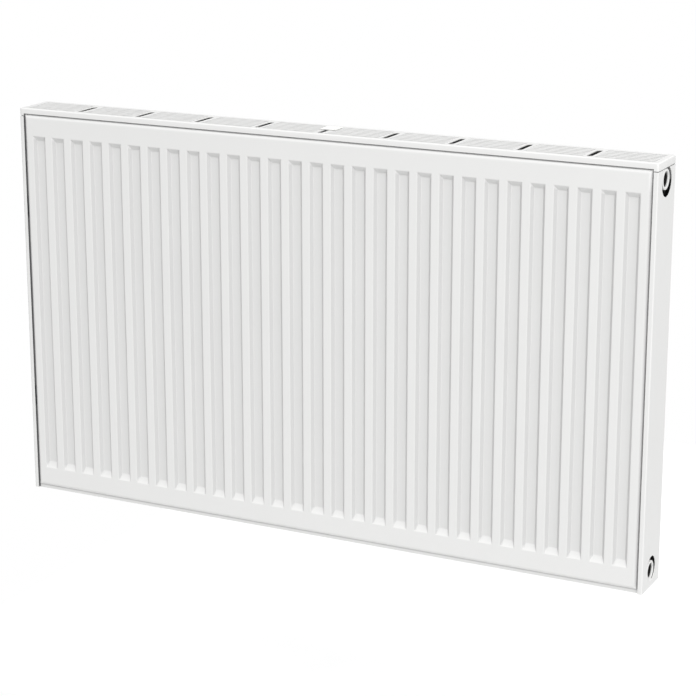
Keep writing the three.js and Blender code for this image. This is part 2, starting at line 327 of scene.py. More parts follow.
def turned_about_z(point):
    """A point after half a turn about the upright axis."""
    return (-point[0], -point[1], point[2])


# ---------------------------------------------------------------- materials


def laid_over(tree, under, colour, share):
    """A hex colour laid over a colour socket by a share. A colour mix has its colours at 6 and 7."""
    mixed = add(tree, "ShaderNodeMix", {"data_type": "RGBA"}, {"Factor": share})
    tree.links.new(under, mixed.inputs[6])
    mixed.inputs[7].default_value = linear(colour)
    return mixed.outputs[2]


def surface(name, colours, roughness, settings, grain, grain_depth, wave=None, painted_top_light=None, painted_shade_colour=None):
    """A material whose colour and gloss drift slightly over the surface, with a fine grain in relief.

    colours are two hex values; grain is the relief's size across in mm and grain_depth its height;
    wave is a second, wide relief (size, height). The painted top-light band (low, high, colour) lays a
    paler colour on above a height, which it reaches over the band, as painted light from above; the
    painted shade colour is laid on by each point's share of painted shade.
    """
    material = bpy.data.materials.new(name)
    material.use_nodes = True
    tree = material.node_tree
    tree.nodes.clear()
    place = add(tree, "ShaderNodeTexCoord").outputs["Object"]
    drift = add(tree, "ShaderNodeTexNoise", None,
                {"Vector": place, "Scale": 1 / (70 * MM), "Detail": 3, "Roughness": 0.6})
    tint = add(tree, "ShaderNodeMix", {"data_type": "RGBA"}, {"Factor": drift.outputs["Fac"]})
    tint.inputs[6].default_value = linear(colours[0])
    tint.inputs[7].default_value = linear(colours[1])
    colour = tint.outputs[2]
    # Painted light: a paler colour laid on above a height
    if painted_top_light:
        height = add(tree, "ShaderNodeSeparateXYZ", None, {0: place}).outputs["Z"]
        top_light_share = add(tree, "ShaderNodeMapRange", None,
                      {"Value": height, "From Min": painted_top_light[0] * MM, "From Max": painted_top_light[1] * MM})
        colour = laid_over(tree, colour, painted_top_light[2], top_light_share.outputs["Result"])
    # Painted shade: a darker colour laid on by each point's share
    if painted_shade_colour:
        shelter = add(tree, "ShaderNodeAttribute", {"attribute_name": "shelter"})
        colour = laid_over(tree, colour, painted_shade_colour, shelter.outputs["Fac"])
    gloss = add(tree, "ShaderNodeMapRange", None,
                {"Value": drift.outputs["Fac"], "To Min": roughness[0], "To Max": roughness[1]})
    fine = add(tree, "ShaderNodeTexNoise", None,
               {"Vector": place, "Scale": 1 / (grain * MM), "Detail": 2})
    relief = add(tree, "ShaderNodeBump", None,
                 {"Height": fine.outputs["Fac"], "Distance": grain_depth * MM, "Strength": 1})
    if wave:
        wide = add(tree, "ShaderNodeTexNoise", None,
                   {"Vector": place, "Scale": 1 / (wave[0] * MM), "Detail": 1})
        relief = add(tree, "ShaderNodeBump", None,
                     {"Height": wide.outputs["Fac"], "Distance": wave[1] * MM, "Strength": 1,
                      "Normal": relief.outputs["Normal"]})
    shader = add(tree, "ShaderNodeBsdfPrincipled", None,
                 {"Base Color": colour, "Roughness": gloss.outputs["Result"],
                  "Normal": relief.outputs["Normal"], **settings})
    add(tree, "ShaderNodeOutputMaterial", None, {"Surface": shader.outputs["BSDF"]})
    return material


# Powder-coated sheet steel: a stoved polyester film, so white is even, semi-gloss and a little
# orange-peeled, over sheet that waves very slightly where it was pressed. Painted shade: a darker
# grey is laid over the white on steep pressed walls, in recesses and in corners, by each point's share
ENAMEL = surface("stoved_white_powder_coat", ("#E6E6E5", "#E9E9E8"), (0.3, 0.36),
                 {"IOR": 1.5, "Coat Weight": 0.25, "Coat Roughness": 0.12}, 1.4, 0.004, (55, 0.05),
                 painted_shade_colour="#8C8C8D")

# Painted shade: hidden faces inside the radiator are coloured black, standing in for the deep shade there
BLACK_SHADE_COAT = surface("electro_dip_primer", ("#161718", "#1C1D1E"), (0.55, 0.65), {"IOR": 1.4}, 0.9, 0.006)

# Painted shade with painted light: the same black on the panels' inner skins, painted paler along the
# top where light comes in through the opening, and painted dark again on the flange close under the
# grille
BLACK_SHADE_WITH_LIT_TOP = surface("electro_dip_primer_with_overspray", ("#161718", "#1C1D1E"), (0.5, 0.6),
                        {"IOR": 1.4}, 0.9, 0.006, painted_top_light=(566, 570, "#D2D2D1"), painted_shade_colour="#1C1D1E")

# Zinc-plated spring and strip steel: dull metal with a faint cloudy spangle
ZINC = surface("zinc_plated_steel", ("#A9ADB0", "#C2C5C7"), (0.34, 0.5), {"Metallic": 1}, 2.5, 0.004)

# Moulded polyamide: matt white with a fine spark-eroded grain
NYLON = surface("moulded_white_polyamide", ("#EFEFED", "#F3F3F1"), (0.45, 0.52),
                {"IOR": 1.53}, 0.35, 0.01)

# Cut pipe thread: bare machined steel under rust-preventing oil, coloured nearly black as painted shade
# deep in the bore
THREAD_DARKENED_AS_SHADE = surface("oiled_cut_steel_thread", ("#1C1B1A", "#262423"), (0.3, 0.45),
                 {"Metallic": 0.6}, 0.5, 0.004)

# Studio floor: plain matt white
FLOOR = surface("matt_white_floor", ("#F6F6F6", "#F8F8F8"), (0.8, 0.85), {"IOR": 1.4}, 3, 0.002)


# ---------------------------------------------------------------- rule: a row of pressed strips


def strip_row_tree():
    """Repeats a sheet strip along X, adds an end piece at each side and welds them into one sheet."""
    tree = bpy.data.node_groups.new("row_of_strips", "GeometryNodeTree")
    face = tree.interface
    for name, kind in (("Strip", "Object"), ("Left end", "Object"), ("Right end", "Object"),
                       ("Count", "Int"), ("Pitch", "Float"), ("Weld distance", "Float"),
                       ("Material", "Material")):
        face.new_socket(name, in_out="INPUT", socket_type=f"NodeSocket{kind}")
    face.new_socket("Geometry", in_out="OUTPUT", socket_type="NodeSocketGeometry")
    given = add(tree, "NodeGroupInput").outputs
    gaps = add(tree, "ShaderNodeMath", {"operation": "SUBTRACT"}, {0: given["Count"], 1: 1})
    length = add(tree, "ShaderNodeMath", {"operation": "MULTIPLY"},
                 {0: gaps.outputs[0], 1: given["Pitch"]})
    start = add(tree, "ShaderNodeMath", {"operation": "MULTIPLY"}, {0: length.outputs[0], 1: -0.5})
    first = add(tree, "ShaderNodeCombineXYZ", None, {"X": start.outputs[0]})
    step = add(tree, "ShaderNodeCombineXYZ", None, {"X": given["Pitch"]})
    places = add(tree, "GeometryNodeMeshLine", None,
                 {"Count": given["Count"], "Start Location": first.outputs[0],
                  "Offset": step.outputs[0]})
    strip = add(tree, "GeometryNodeObjectInfo", None, {"Object": given["Strip"]})
    row = add(tree, "GeometryNodeInstanceOnPoints", None,
              {"Points": places.outputs["Mesh"], "Instance": strip.outputs["Geometry"]})
    left = add(tree, "GeometryNodeObjectInfo", None, {"Object": given["Left end"]})
    right = add(tree, "GeometryNodeObjectInfo", None, {"Object": given["Right end"]})
    joined = add(tree, "GeometryNodeJoinGeometry")
    for part in (row.outputs["Instances"], left.outputs["Geometry"], right.outputs["Geometry"]):
        tree.links.new(part, joined.inputs["Geometry"])
    real = add(tree, "GeometryNodeRealizeInstances", None, {"Geometry": joined.outputs["Geometry"]})
    welded = add(tree, "GeometryNodeMergeByDistance", None,
                 {"Geometry": real.outputs["Geometry"], "Distance": given["Weld distance"]})
    coated = add(tree, "GeometryNodeSetMaterial", None,
                 {"Geometry": welded.outputs["Geometry"], "Material": given["Material"]})
    add(tree, "NodeGroupOutput", None, {"Geometry": coated.outputs["Geometry"]})
    return tree


def run_rule(name, tree, values, mesh=None):
    """An object that a node tree has shaped, as a plain mesh."""
    made = new_object(name, mesh or bpy.data.meshes.new(name))
    rule = made.modifiers.new("rule", "NODES")
    rule.node_group = tree
    for item in tree.interface.items_tree:
        if item.in_out == "INPUT" and item.name in values:
            rule[item.identifier] = values[item.name]
    spent = [value for value in values.values() if isinstance(value, bpy.types.Object)]
    return settle(made, *spent)


# ---------------------------------------------------------------- pressed water panels


def wall_distance(sunk, run, depth, mouth_radius, floor_radius):
    """How far in from its sharp mouth edge a pressed wall has sunk by that much."""
    slope = math.atan2(depth, run)
    mouth_tangent = mouth_radius * math.tan(slope / 2)
    floor_tangent = floor_radius * math.tan(slope / 2)
    if sunk <= mouth_tangent * math.sin(slope):
        turn = math.acos(1 - sunk / mouth_radius)
        return mouth_radius * math.sin(turn) - mouth_tangent
    if sunk >= depth - floor_tangent * math.sin(slope):
        turn = math.acos(1 - (depth - sunk) / floor_radius)
        return run + floor_tangent - floor_radius * math.sin(turn)
    return sunk / math.tan(slope)


def wall_depths(run, depth, mouth_radius, floor_radius, steps):
    """The depths at which a wall's two bends get a line of points."""
    slope = math.atan2(depth, run)
    turns = [slope * step / steps for step in range(steps + 1)]
    mouth = [mouth_radius * (1 - math.cos(turn)) for turn in turns]
    floor = [depth - floor_radius * (1 - math.cos(turn)) for turn in reversed(turns)]
    return mouth + floor


def wall_lines(edge, way, depths, run, depth, mouth_radius, floor_radius):
    """(place, depth) of each line along a wall, with a support line on the flat at either side."""
    lines = []
    for sunk in depths:
        distance = wall_distance(sunk, run, depth, mouth_radius, floor_radius)
        lines.append((edge + way * distance, sunk))
    before = (lines[0][0] - way * SUPPORT, 0)
    after = (lines[-1][0] + way * SUPPORT, depth)
    return [before, *lines, after]


def pressed_lines(steps, bottom, top):
    """The lines across one recess in X and along it in Z, and those of the panel's shoulders."""
    recess_depths = wall_depths(*SIDE_WALL, steps)
    shoulder_depths = wall_depths(*SHOULDER_WALL, steps + 2)
    left = wall_lines(-RECESS_HALF_WIDTH, 1, recess_depths, *SIDE_WALL)
    floor_middle = [(x, PRESS_DEPTH) for x in FLOOR_LINES]
    across = left + floor_middle + [(-x, sunk) for x, sunk in reversed(left)]
    low = wall_lines(bottom, 1, recess_depths, *FOOT_WALL)
    high = wall_lines(top, -1, recess_depths, *HEAD_WALL)
    along = low + list(reversed(high))
    foot = wall_lines(BOTTOM_FOOT + SHOULDER_RUN, -1, shoulder_depths, *SHOULDER_WALL)
    head = wall_lines(TOP_FOOT - SHOULDER_RUN, 1, shoulder_depths, *SHOULDER_WALL)
    return across, along, foot, head, shoulder_depths


def pressed_sheet(name, xs, zs, recess, shoulder):
    """A sheet over a grid of lines. recess and shoulder give each point's two depths."""
    points = [(x, max(recess(i, j), shoulder(i, j)), z)
              for i, x in enumerate(xs) for j, z in enumerate(zs)]
    faces = []
    for i in range(len(xs) - 1):
        for j in range(len(zs) - 1):
            here = i * len(zs) + j
            corners = [here, here + len(zs), here + len(zs) + 1, here + 1]
            faces += creased_quad(corners, [points[c][1] for c in corners])
    return new_object(name, mesh_from(name, points, faces))


def creased_quad(corners, depths):
    """One quad, or two triangles split through the corner that is off the other three's plane."""
    if abs(depths[0] + depths[2] - depths[1] - depths[3]) < 1e-6:
        return [corners]
    even = abs(depths[0] - depths[1]) < 1e-6 and abs(depths[0] - depths[3]) < 1e-6
    odd = abs(depths[2] - depths[1]) < 1e-6 and abs(depths[2] - depths[3]) < 1e-6
    a, b, c, d = corners
    if even or odd:
        return [[a, b, c], [a, c, d]]
    return [[a, b, d], [b, c, d]]


def channel_strip(name, centre, steps, height, bottom, top, side=0):
    """One channel pitch of a skin around a recess, out to the panel's edge where side is -1 or 1.

    Each line is its place with the depth that it gives a recess and the depth of the shoulder.
    """
    across, along, foot, head, shoulder_depths = pressed_lines(steps, bottom, top)
    half_length = node_box("front_panel_outer_skin")[1].x
    z_lines = [(0, None, PRESS_DEPTH), (STRIP_LINE, None, PRESS_DEPTH)]
    z_lines += [(z, None, sunk) for z, sunk in reversed(foot)]
    z_lines += [(z, sunk, None) for z, sunk in along]
    z_lines += [(z, None, sunk) for z, sunk in head]
    z_lines += [(height, None, PRESS_DEPTH)]
    x_lines = [(centre + x, sunk, None) for x, sunk in across]
    if side <= 0:
        x_lines.append((centre + CHANNEL_PITCH / 2, None, None))
    if side >= 0:
        x_lines.insert(0, (centre - CHANNEL_PITCH / 2, None, None))
    if side:
        edge = side * (half_length - SHOULDER_FOOT_GAP - SHOULDER_RUN)
        lines = wall_lines(edge, side, shoulder_depths, *SHOULDER_WALL)
        outer = [(x, None, sunk) for x, sunk in lines] + [(side * half_length, None, PRESS_DEPTH)]
        x_lines = list(reversed(outer)) + x_lines if side < 0 else x_lines + outer

    def recess(i, j):
        return min(x_lines[i][1] or 0, z_lines[j][1] or 0)

    def shoulder(i, j):
        return max(x_lines[i][2] or 0, z_lines[j][2] or 0)

    return pressed_sheet(name, [x[0] for x in x_lines], [z[0] for z in z_lines], recess, shoulder)


def water_skin(name, tree, is_outer, face_y, turned, outside):
    """A whole pressed skin whose face lies on face_y. turned faces it to the wall.

    An inner skin is seen only through the openings, so it has fewer lines; its end recesses stop
    short of the tees.
    """
    height = node_box("front_panel_outer_skin")[1].z
    last = (RECESS_COUNT - 1) / 2 * CHANNEL_PITCH
    steps = OUTER_BEND_STEPS if is_outer else INNER_BEND_STEPS
    bottom = RECESS_BOTTOM if is_outer else INNER_END_RECESS_BOTTOM
    top = RECESS_TOP if is_outer else INNER_END_RECESS_TOP
    skin = run_rule(name, tree, {
        "Strip": channel_strip("strip", 0, steps, height, RECESS_BOTTOM, RECESS_TOP),
        "Left end": channel_strip("left_end", -last, steps, height, bottom, top, -1),
        "Right end": channel_strip("right_end", last, steps, height, bottom, top, 1),
        "Count": RECESS_COUNT - 2,
        "Pitch": CHANNEL_PITCH * MM,
        "Weld distance": WELD_DISTANCE * MM,
        "Material": ENAMEL,
    })
    # Painted shade: each point's share of a darker colour
    mark_painted_shade(skin, bottom, top, is_outer)
    for vertex in skin.data.vertices:
        if turned:
            vertex.co = turned_about_z(vertex.co)
        vertex.co.y += face_y * MM
    # Painted shade: the skin's inner face is coloured black
    recoat(skin, outside, BLACK_SHADE_COAT)
    smooth(settle(thicken(skin, SKIN_SHEET, -1, 1)))
    return place_piece(skin, "core", "white_enamel", name)


def mark_painted_shade(skin, bottom, top, is_outer):
    """Writes how much painted shade darkens each point, from 0 in the open to 1."""
    shelter = skin.data.attributes.new("shelter", "FLOAT", "POINT")
    side_foot = node_box("front_panel_outer_skin")[1].x - SHOULDER_FOOT_GAP
    for index, vertex in enumerate(skin.data.vertices):
        x, depth, z = vertex.co / MM
        sunk = depth / PRESS_DEPTH
        recess = min(max(round(x / CHANNEL_PITCH), -(RECESS_COUNT // 2)), RECESS_COUNT // 2)
        off_centre = abs(x - recess * CHANNEL_PITCH)
        along_wall = (RECESS_HALF_WIDTH - off_centre) / RECESS_WALL_RUN
        along_foot = (z - bottom) / RECESS_FOOT_RUN
        along_head = (top - z) / RECESS_HEAD_RUN
        on_wall = along_wall < min(along_foot, along_head, WALL_PAINTED_SHADE_REACH)
        if z > TOP_FOOT + PAINTED_SHADE_MARGIN or (is_outer and abs(x) > side_foot + SUPPORT / 2):
            share = FLANGE_PAINTED_SHADE
        elif z < STRIP_LINE + PAINTED_SHADE_MARGIN:
            share = STRIP_PAINTED_SHADE
        elif z > TOP_FOOT - SHOULDER_RADIUS or z < BOTTOM_FOOT + SHOULDER_RADIUS:
            share = FOOT_PAINTED_SHADE * sunk ** FOOT_PAINTED_SHADE_NARROWNESS
        else:
            steepness = min(1, BEND_PAINTED_SHADE_RISE * sunk * (1 - sunk))
            share = max(FLOOR_PAINTED_SHADE * sunk, WALL_PAINTED_SHADE * steepness if on_wall else 0)
        shelter.data[index].value = share


def water_panels(tree):
    """The front and the rear panel, each welded from an outer and an inner skin."""
    for panel, outer_side in (("front", -1), ("rear", 1)):
        outer_low, outer_high = node_box(f"{panel}_panel_outer_skin")
        inner_low, inner_high = node_box(f"{panel}_panel_inner_skin")
        is_front = outer_side < 0
        outer_face = outer_low.y if is_front else outer_high.y
        inner_face = inner_high.y if is_front else inner_low.y
        water_skin(f"{panel}_panel_outer_skin", tree, True, outer_face, not is_front, ENAMEL)
        water_skin(f"{panel}_panel_inner_skin", tree, False, inner_face, is_front, BLACK_SHADE_WITH_LIT_TOP)


# ---------------------------------------------------------------- folded sheet parts


def folded(points, radius):
    """A folded strip's middle line: its corners as arcs, with a support point at each side."""
    line = [Vector(points[0])]
    for before, corner, after in zip(points, points[1:], points[2:]):
        corner = Vector(corner)
        arriving = (corner - Vector(before)).normalized()
        leaving = (Vector(after) - corner).normalized()
        turn = arriving.angle(leaving)
        reach = radius * math.tan(turn / 2)
        inner = (leaving - arriving).normalized() * (radius / math.cos(turn / 2))
        centre = corner + inner
        start = corner - arriving * reach
        line.append(start - arriving * SUPPORT)
        for step in range(FOLD_STEPS + 1):
            share = turn * step / FOLD_STEPS
            spoke = (start - centre) * math.cos(share) + arriving * (radius * math.sin(share))
            line.append(centre + spoke)
        line.append(corner + leaving * (reach + SUPPORT))
    line.append(Vector(points[-1]))
    return line


def folded_sheet(name, points, radius, ends, place):
    """A folded strip's middle surface between two ends. place turns (u, v, w) into a point."""
    line = folded([Vector((u, v)) for u, v in points], radius)
    grid = [place(p.x, p.y, w) for p in line for w in ends]
    count = len(ends)
    faces = []
    for i in range(len(line) - 1):
        for j in range(count - 1):
            here = i * count + j
            faces.append([here, here + 1, here + count + 1, here + count])
    return new_object(name, mesh_from(name, grid, faces))


def along_z(u, v, w):
    return (u, v, w)


def along_x(u, v, w):
    return (w, u, v)


def round_bar(axis, centre, radius, length, segments=64):
    """A closed cylinder, used as a cutter."""
    work = bmesh.new()
    bmesh.ops.create_cone(work, cap_ends=True, segments=segments, radius1=radius * MM,
                          radius2=radius * MM, depth=length * MM)
    for vertex in work.verts:
        x, y, z = vertex.co
        vertex.co = {"x": (z, x, y), "y": (y, z, x), "z": (x, y, z)}[axis]
        vertex.co += Vector(centre) * MM
    mesh = bpy.data.meshes.new("cutter")
    work.to_mesh(mesh)
    work.free()
    return new_object("cutter", mesh)


def block(name, low, high):
    """A closed box."""
    low, high = Vector(low), Vector(high)
    points = [(x, y, z) for x in (low.x, high.x) for y in (low.y, high.y) for z in (low.z, high.z)]
    faces = [(0, 1, 3, 2), (4, 6, 7, 5), (0, 4, 5, 1), (2, 3, 7, 6), (0, 2, 6, 4), (1, 5, 7, 3)]
    return new_object(name, mesh_from(name, points, faces))


def side_panels():
    """The two side panels, each with its pair of spring clips."""
    for side_name, side in (("left", -1), ("right", 1)):
        name = f"{side_name}_side_panel"
        low, high = node_box(name)
        outside = (high.x if side > 0 else -low.x) - COVER_SHEET / 2
        tip = outside + COVER_SHEET / 2 - SIDE_LIP_WIDTH
        front = low.y + COVER_SHEET / 2
        back = high.y - COVER_SHEET / 2
        path = [(side * tip, front), (side * outside, front), (side * outside, back), (side * tip, back)]
        panel = folded_sheet(name, path, FOLD_RADIUS - COVER_SHEET / 2, (low.z, high.z), along_z)
        panel.data.materials.append(ENAMEL)
        thicken(panel, COVER_SHEET)
        holes = [round_bar("x", (side * outside, y, z), radius, 10 * COVER_SHEET)
                 for y, z, radius in (UPPER_HOLE, LOWER_HOLE)]
        cut(panel, *holes)
        smooth(outward(panel))
        # Painted shade: the cover's inner faces are coloured black
        paint_shade_inside(panel, lambda centre, normal: normal.x * side < -LOOKS_THAT_WAY
                     or (abs(centre.x) / MM < outside - FACE_MARGIN
                         and is_facing_in(centre, normal, front, back)))
        soften(panel, EDGE_ROUNDING["cover"])
        place_piece(panel, name, "white_enamel", name)
        for level in ("lower", "upper"):
            spring_clip(f"{level}_{side_name}_spring_clip", side, name)


def is_facing_in(centre, normal, front, back):
    """Whether a lip's face looks back into the cover."""
    middle = (front + back) / 2 * MM
    return normal.y * (middle - centre.y) > 0 and abs(normal.y) > LOOKS_THAT_WAY


def paint_shade_inside(obj, is_inside):
    """Faces that is_inside picks are coloured black as painted shade."""
    obj.data.materials.append(BLACK_SHADE_COAT)
    for polygon in obj.data.polygons:
        if is_inside(polygon.center, polygon.normal):
            polygon.material_index = len(obj.data.materials) - 1


def spring_clip(name, side, body):
    """A small channel that grips the front panel's seam flange."""
    low, high = node_box(name)
    half = SPRING_SHEET / 2
    near = low.x if side > 0 else high.x
    far = (high.x if side > 0 else low.x) - side * half
    front = low.y + half
    back = high.y - half
    clip = folded_sheet(name, [(near, front), (far, front), (far, back), (near, back)],
                        SPRING_FOLD, (low.z, high.z), along_z)
    clip.data.materials.append(ZINC)
    settle(thicken(clip, SPRING_SHEET))
    soften(smooth(outward(clip)), EDGE_ROUNDING["spring"])
    place_piece(clip, body, "galvanised_steel", name)


def bridges():
    """Three strips across the gap between the panels; the middle one takes the clip's stem."""
    for which in ("left", "middle", "right"):
        name = f"{which}_bridge"
        low, high = node_box(name)
        half = BRIDGE_SHEET / 2
        path = [(low.y + half, low.z), (low.y + half, high.z - half),
                (high.y - half, high.z - half), (high.y - half, low.z)]
        bridge = folded_sheet(name, path, BRIDGE_FOLD, (low.x, high.x), along_x)
        bridge.data.materials.append(ZINC)
        thicken(bridge, BRIDGE_SHEET)
        middle = (low.x + high.x) / 2
        clip_low, clip_high = node_box("grille_clip")
        reach = 4 * BRIDGE_SHEET
        hole = block("hole", (middle - BRIDGE_HOLE_HALF, clip_low.y + CLIP_OVERHANG - CLIP_PLAY,
                              high.z - reach),
                     (middle + BRIDGE_HOLE_HALF, clip_high.y - CLIP_OVERHANG + CLIP_PLAY,
                      high.z + reach))
        cut(bridge, hole)
        soften(smooth(outward(bridge)), EDGE_ROUNDING["bridge"])
        place_piece(bridge, "core", "galvanised_steel", name)


def hanging_lugs():
    """Four straps on the back: two feet on the skin and a raised middle that the hooks reach behind."""
    for side in ("left", "right"):
        for level in ("lower", "upper"):
            name = f"{level}_{side}_hanging_lug"
            low, high = node_box(name)
            half = LUG_SHEET / 2
            seat = low.y + half
            wall = high.y - half
            path = [(seat, low.z), (seat, low.z + LUG_FOOT + half), (wall, low.z + LUG_FOOT + half),
                    (wall, high.z - LUG_FOOT - half), (seat, high.z - LUG_FOOT - half), (seat, high.z)]
            lug = folded_sheet(name, path, LUG_FOLD, (low.x, high.x), along_x)
            lug.data.materials.append(ENAMEL)
            settle(thicken(lug, LUG_SHEET))
            soften(smooth(outward(lug)), EDGE_ROUNDING["lug"])
            place_piece(lug, "core", "white_enamel", name)


def convector(tree):
    """Fins folded from one sheet: the strip is one period, from a foot's middle to the next."""
    low, high = node_box("convector")
    half = CONVECTOR_SHEET / 2
    foot_y = high.y - half
    crest_y = low.y + half
    period = CHANNEL_PITCH / 2
    reach = (CONVECTOR_FINS - 1) / 2 * CHANNEL_PITCH
    ends = (low.z, high.z)
    path = [(-period, foot_y), (-period + FIN_FOOT_HALF, foot_y), (-FIN_CREST_HALF, crest_y),
            (FIN_CREST_HALF, crest_y), (period - FIN_FOOT_HALF, foot_y), (period, foot_y)]
    fins = run_rule("convector", tree, {
        "Strip": folded_sheet("fin", path, FIN_FOLD, ends, along_z),
        "Left end": folded_sheet("left_foot", [(low.x, foot_y), (-reach, foot_y)], FIN_FOLD,
                                 ends, along_z),
        "Right end": folded_sheet("right_foot", [(reach, foot_y), (high.x, foot_y)], FIN_FOLD,
                                  ends, along_z),
        "Count": CONVECTOR_FINS - 1,
        "Pitch": CHANNEL_PITCH * MM,
        "Weld distance": WELD_DISTANCE * MM,
        "Material": BLACK_SHADE_COAT,
    })
    # Painted shade: the fins are coloured black
    recoat(fins, BLACK_SHADE_COAT)
    smooth(outward(settle(thicken(fins, CONVECTOR_SHEET))))
    place_piece(fins, "core", "white_enamel", "convector")


# ---------------------------------------------------------------- connections


def ring_mesh(name, profile, axis_point, axis, segments, radius_at=None):
    """A closed profile of (along, radius) turned about an axis. radius_at can change a radius."""
    points = []
    for spoke in range(segments):
        angle = 2 * HALF_TURN * spoke / segments
        for along, radius in profile:
            r = radius_at(along, radius, spoke / segments) if radius_at else radius
            u, v = r * math.cos(angle), r * math.sin(angle)
            offset = {"x": (along, u, v), "y": (v, along, u)}[axis]
            points.append(Vector(axis_point) + Vector(offset))
    count = len(profile)
    faces = []
    for spoke in range(segments):
        ahead = (spoke + 1) % segments
        for i in range(count):
            j = (i + 1) % count
            faces.append([spoke * count + i, spoke * count + j, ahead * count + j, ahead * count + i])
    made = new_object(name, mesh_from(name, points, faces))
    return outward(made)


def connections():
    """A tee between the panels at each corner, and the socket on it."""
    for side_name, side in (("left", -1), ("right", 1)):
        for level in ("lower", "upper"):
            tee_name = f"{level}_{side_name}_tee"
            tee_low, tee_high = node_box(tee_name)
            centre = (tee_low + tee_high) / 2
            half = (tee_high.y - tee_low.y) / 2
            tee_profile = [(-half, TEE_BORE_RADIUS), (-half, TEE_RADIUS - TEE_CHAMFER),
                           (-half + TEE_CHAMFER, TEE_RADIUS), (half - TEE_CHAMFER, TEE_RADIUS),
                           (half, TEE_RADIUS - TEE_CHAMFER), (half, TEE_BORE_RADIUS)]
            tee = ring_mesh(tee_name, tee_profile, centre, "y", 48)
            # Painted shade: the tee is coloured black
            tee.data.materials.append(BLACK_SHADE_COAT)
            branch = centre + Vector((side * TEE_RADIUS, 0, 0))
            cut(tee, round_bar("x", branch, THREAD_MINOR_RADIUS, 2 * TEE_RADIUS))
            smooth(outward(tee))
            place_piece(tee, "core", "white_enamel", tee_name)
            threaded_socket(f"{level}_{side_name}_socket", side, centre)


def threaded_socket(name, side, centre):
    """A socket with a painted lead-in before its oiled thread, whose colour is made nearly black as
    painted shade.
    """
    low, high = node_box(name)
    mouth = (high.x if side > 0 else -low.x) - abs(centre.x)
    thread_end = mouth - LEAD_IN_DEPTH
    thread_length = thread_end - SOCKET_ROOT
    steps = int(thread_length / THREAD_PITCH * STEPS_PER_THREAD)
    bore = [(SOCKET_ROOT + thread_length * step / steps, THREAD_MINOR_RADIUS)
            for step in range(steps + 1)]
    ease = SOCKET_CHAMFER * SOCKET_CHAMFER_EASE
    outer = [(thread_end + LEAD_IN_SHOULDER, LEAD_IN_RADIUS), (mouth - LEAD_IN_FLARE, LEAD_IN_RADIUS),
             (mouth, LEAD_IN_RADIUS + LEAD_IN_FLARE), (mouth, SOCKET_RADIUS - SOCKET_CHAMFER),
             (mouth - ease, SOCKET_RADIUS - ease), (mouth - SOCKET_CHAMFER, SOCKET_RADIUS),
             (SOCKET_ROOT, SOCKET_RADIUS)]
    profile = [(side * along, radius) for along, radius in bore + outer]

    def thread(along, radius, share):
        if radius > THREAD_MINOR_RADIUS:
            return radius
        phase = (abs(along) / THREAD_PITCH + share) % 1
        return radius + THREAD_DEPTH * (1 - abs(2 * phase - 1)) ** THREAD_FULLNESS

    socket = ring_mesh(name, profile, centre, "x", 64, thread)
    socket.data.materials.append(ENAMEL)
    tee_space = round_bar("y", centre, TEE_RADIUS + TEE_CLEARANCE, 4 * SOCKET_RADIUS)
    cut(socket, tee_space)
    # Painted shade: faces deep in the bore take the nearly black thread colour
    socket.data.materials.append(THREAD_DARKENED_AS_SHADE)
    for polygon in socket.data.polygons:
        middle = polygon.center / MM
        from_axis = math.hypot(middle.y - centre.y, middle.z - centre.z)
        is_in_bore = from_axis < LEAD_IN_RADIUS + FACE_MARGIN
        if is_in_bore and abs(middle.x - centre.x) < thread_end + FACE_MARGIN:
            polygon.material_index = 1
    smooth(outward(socket))
    place_piece(socket, "core", "white_enamel", name)


# ---------------------------------------------------------------- top grille


def grille_outline(half_x, front, back, radius, z_low, z_lip, z=None):
    """Points round the grille's rounded rectangle. Without z they drop to the skirt's or lip's edge."""
    points = []
    lip_end = node_box("top_grille")[1].x - SIDE_LIP_WIDTH
    end = half_x - radius
    corners = [(end, back - radius, 0), (-end, back - radius, 90),
               (-end, front + radius, 180), (end, front + radius, 270)]
    for x, y, first in corners:
        for step in range(GRILLE_CORNER_STEPS + 1):
            angle = math.radians(first + 90 * step / GRILLE_CORNER_STEPS)
            point = (x + radius * math.cos(angle), y + radius * math.sin(angle))
            points.append((*point, z if z is not None else z_low))
        if first in (0, 180):
            y_edge = back if first == 0 else front
            way = 1 if first == 0 else -1
            for place in (lip_end, lip_end - LIP_END_STEP, -lip_end + LIP_END_STEP, -lip_end):
                is_lip = abs(place) < lip_end - LIP_END_STEP / 2
                height = z if z is not None else (z_lip if is_lip else z_low)
                points.append((way * place, y_edge, height))
    return points


def grille_tray():
    """The grille before its slots are cut: a plate with a lip along its front and back, and skirts."""
    low, high = node_box("top_grille")
    lip_edge = high.z - TOP_LIP_WIDTH
    rings = []
    for wall in (0, COVER_SHEET):
        top = high.z - wall
        radius = FOLD_RADIUS - wall
        shape = [(0, None)]
        for step in range(GRILLE_FOLD_STEPS + 1):
            angle = HALF_TURN / 2 * step / GRILLE_FOLD_STEPS
            shape.append((radius * (1 - math.cos(angle)), top - radius + radius * math.sin(angle)))
        shape.append((radius + SUPPORT, top))
        loops = []
        for inset, z in shape:
            size = high.x - wall - inset
            corner = max(GRILLE_CORNER_RADIUS - wall - inset, SMALLEST_CORNER_RADIUS)
            loops.append(grille_outline(size, low.y + wall + inset, high.y - wall - inset, corner,
                                        low.z, lip_edge, z))
        rings.append(loops)
    outer, inner = rings
    order = list(reversed(outer)) + inner
    points = [point for loop in order for point in loop]
    count = len(outer[0])
    faces = [list(range(count)), list(range(len(points) - count, len(points)))]
    for i in range(len(order) - 1):
        for j in range(count):
            k = (j + 1) % count
            faces.append([i * count + j, i * count + k, (i + 1) * count + k, (i + 1) * count + j])
    tray = outward(new_object("top_grille", mesh_from("top_grille", points, faces)))
    tray.data.materials.append(ENAMEL)
    return tray


